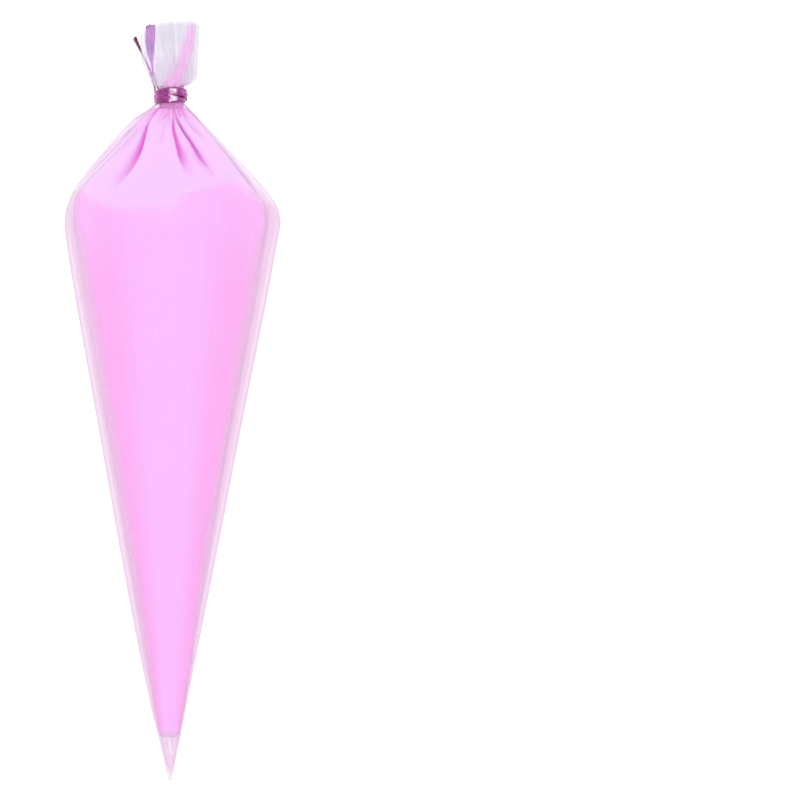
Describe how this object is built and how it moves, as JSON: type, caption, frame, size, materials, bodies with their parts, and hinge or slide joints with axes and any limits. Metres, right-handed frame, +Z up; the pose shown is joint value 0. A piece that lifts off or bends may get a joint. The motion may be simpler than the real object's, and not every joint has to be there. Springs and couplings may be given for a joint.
{
  "type": "piping bag",
  "caption": "Filled clear disposable piping bag, cone shaped with an uncut tip, gathered at the neck and closed by a twist tie with a flared mouth above it.",
  "frame": {"origin": "on the table under the middle of the bag's bounding box", "axes": "+Y from the tip to the mouth, +Z up from the table the bag lies on, +X across the bag"},
  "size_m": [0.082, 0.29, 0.0598],
  "materials": {
    "film": "clear glossy polyethylene film",
    "weld": "heat-sealed film, slightly milky",
    "icing": "smooth soft pink icing",
    "tie_foil": "magenta metallic foil",
    "tie_wire": "bare annealed wire"
  },
  "bodies": {
    "bag": {"film_front": "film", "film_back": "film", "side_weld_left": "weld", "side_weld_right": "weld", "icing_fill": "icing", "neck_gather_front": "film", "neck_gather_back": "film"},
    "tip": {"tip_film_front": "film", "tip_film_back": "film", "tip_weld": "weld"},
    "mouth": {"mouth_film_front": "film", "mouth_film_back": "film", "mouth_weld_left": "weld", "mouth_weld_right": "weld"},
    "tie": {"tie_band_foil": "tie_foil", "tie_band_wire": "tie_wire"},
    "twist": {"twist_left_foil": "tie_foil", "twist_left_wire": "tie_wire", "twist_right_foil": "tie_foil", "twist_right_wire": "tie_wire"},
    "tail_left": {"tail_left_foil": "tie_foil", "tail_left_wire": "tie_wire"},
    "tail_right": {"tail_right_foil": "tie_foil", "tail_right_wire": "tie_wire"}
  },
  "joints": [
    {"name": "tip_bend", "type": "hinge", "parent": "bag", "child": "tip", "pos_m": [0, -0.1278, 0.002], "axis": [-1, 0, 0], "range_deg": [0, 75]},
    {"name": "mouth_fold", "type": "hinge", "parent": "bag", "child": "mouth", "pos_m": [0, 0.1218, 0.026], "axis": [1, 0, 0], "range_deg": [-8, 80]},
    {"name": "tie_turn", "type": "hinge", "parent": "bag", "child": "tie", "pos_m": [0, 0.1143, 0.026], "axis": [0, -1, 0], "range_deg": [-8, 80]},
    {"name": "tie_untwist", "type": "hinge", "parent": "tie", "child": "twist", "pos_m": [-0.006, 0.12, 0.0204], "axis": [-0.2516, 0.9259, -0.2818], "continuous": true},
    {"name": "tail_left_bend", "type": "hinge", "parent": "twist", "child": "tail_left", "pos_m": [-0.00809, 0.12591, 0.0186], "axis": [0, 0.2912, 0.9567], "range_deg": [-4, 50]},
    {"name": "tail_right_bend", "type": "hinge", "parent": "twist", "child": "tail_right", "pos_m": [-0.00718, 0.12613, 0.01853], "axis": [0, -0.2912, -0.9567], "range_deg": [-4, 45]}
  ]
}
